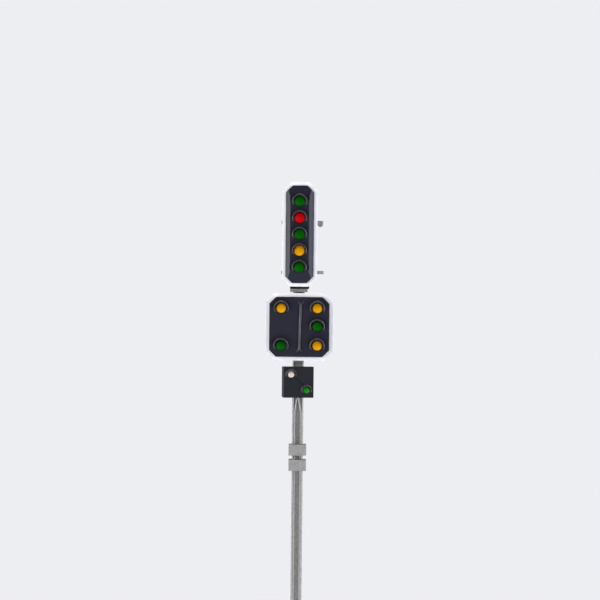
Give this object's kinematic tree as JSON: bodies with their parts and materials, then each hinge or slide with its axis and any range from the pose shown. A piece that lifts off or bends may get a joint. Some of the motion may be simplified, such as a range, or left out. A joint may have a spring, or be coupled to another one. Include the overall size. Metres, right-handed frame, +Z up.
{
  "type": "model railway colour light signal",
  "caption": "H0 scale colour-light signal: H-section mast with a tall main head, a square distant head and a small auxiliary head that each swivel for aiming.",
  "frame": {"origin": "centre of the mast, in the plane where the foot plate rests on the board", "axes": "+Z up along the mast, -Y towards the viewer of the lamps, +X to that viewer's right"},
  "size_m": [0.0118, 0.0113, 0.102],
  "materials": {
    "mast_grey": "matte grey paint",
    "head_black": "satin black",
    "plate_white": "satin white paint",
    "brass": "turned",
    "plug_resin": "cast resin",
    "wire_enamel": "enamelled copper, painted grey on the lower mast",
    "circuit_board": "solder mask",
    "led_body": "clear resin on white",
    "lens_green": "tinted clear resin",
    "lens_red": "tinted clear resin",
    "lens_orange": "tinted clear resin",
    "lens_white": "milky resin"
  },
  "bodies": {
    "mast": {"mast_profile": "mast_grey", "mast_collar_top": "mast_grey", "mast_collar_upper": "mast_grey", "mast_collar_lower": "mast_grey", "foot_collar": "mast_grey", "foot_plate": "mast_grey", "foot_bolts": "mast_grey", "mounting_spigot": "brass", "mast_socket": "brass", "lead_outlet_plug": "plug_resin", "main_bracket": "mast_grey", "distant_bracket": "mast_grey", "aux_bracket": "mast_grey", "main_pivot_tube": "brass", "distant_pivot_tube": "brass", "aux_pivot_tube": "brass", "main_leads": "wire_enamel", "distant_leads": "wire_enamel", "aux_leads": "wire_enamel"},
    "main_head": {"main_back_plate": "plate_white", "main_rear_cover": "head_black", "main_housing": "head_black", "main_cross_arm_upper": "mast_grey", "main_cross_arm_lower": "mast_grey", "main_led_board": "circuit_board", "main_leds": "led_body", "main_tail_leads": "wire_enamel", "main_hoods": "head_black", "main_lens_green_top": "lens_green", "main_lens_red": "lens_red", "main_lens_green_middle": "lens_green", "main_lens_orange": "lens_orange", "main_lens_green_bottom": "lens_green"},
    "distant_head": {"distant_back_plate": "plate_white", "distant_rear_cover": "head_black", "distant_housing": "head_black", "distant_centre_rib": "head_black", "distant_led_board": "circuit_board", "distant_leds": "led_body", "distant_tail_leads": "wire_enamel", "distant_hoods": "head_black", "distant_lens_orange_left": "lens_orange", "distant_lens_orange_right": "lens_orange", "distant_lens_green_right": "lens_green", "distant_lens_green_left": "lens_green", "distant_lens_orange_bottom": "lens_orange"},
    "aux_head": {"aux_rear_cover": "head_black", "aux_housing": "head_black", "aux_led_board": "circuit_board", "aux_leds": "led_body", "aux_tail_leads": "wire_enamel", "aux_hoods": "head_black", "aux_lens_white": "lens_white", "aux_lens_green": "lens_green"}
  },
  "joints": [
    {"name": "main_swivel", "type": "hinge", "parent": "mast", "child": "main_head", "pos_m": [0, -0.0023, 0.0793], "axis": [0, 0, 1], "range_deg": [-12.5, 17.5]},
    {"name": "distant_swivel", "type": "hinge", "parent": "mast", "child": "distant_head", "pos_m": [0, -0.0023, 0.06482], "axis": [0, 0, 1], "range_deg": [-12.5, 17.5]},
    {"name": "aux_swivel", "type": "hinge", "parent": "mast", "child": "aux_head", "pos_m": [0, -0.0023, 0.05521], "axis": [0, 0, 1], "range_deg": [-23, 7]}
  ]
}
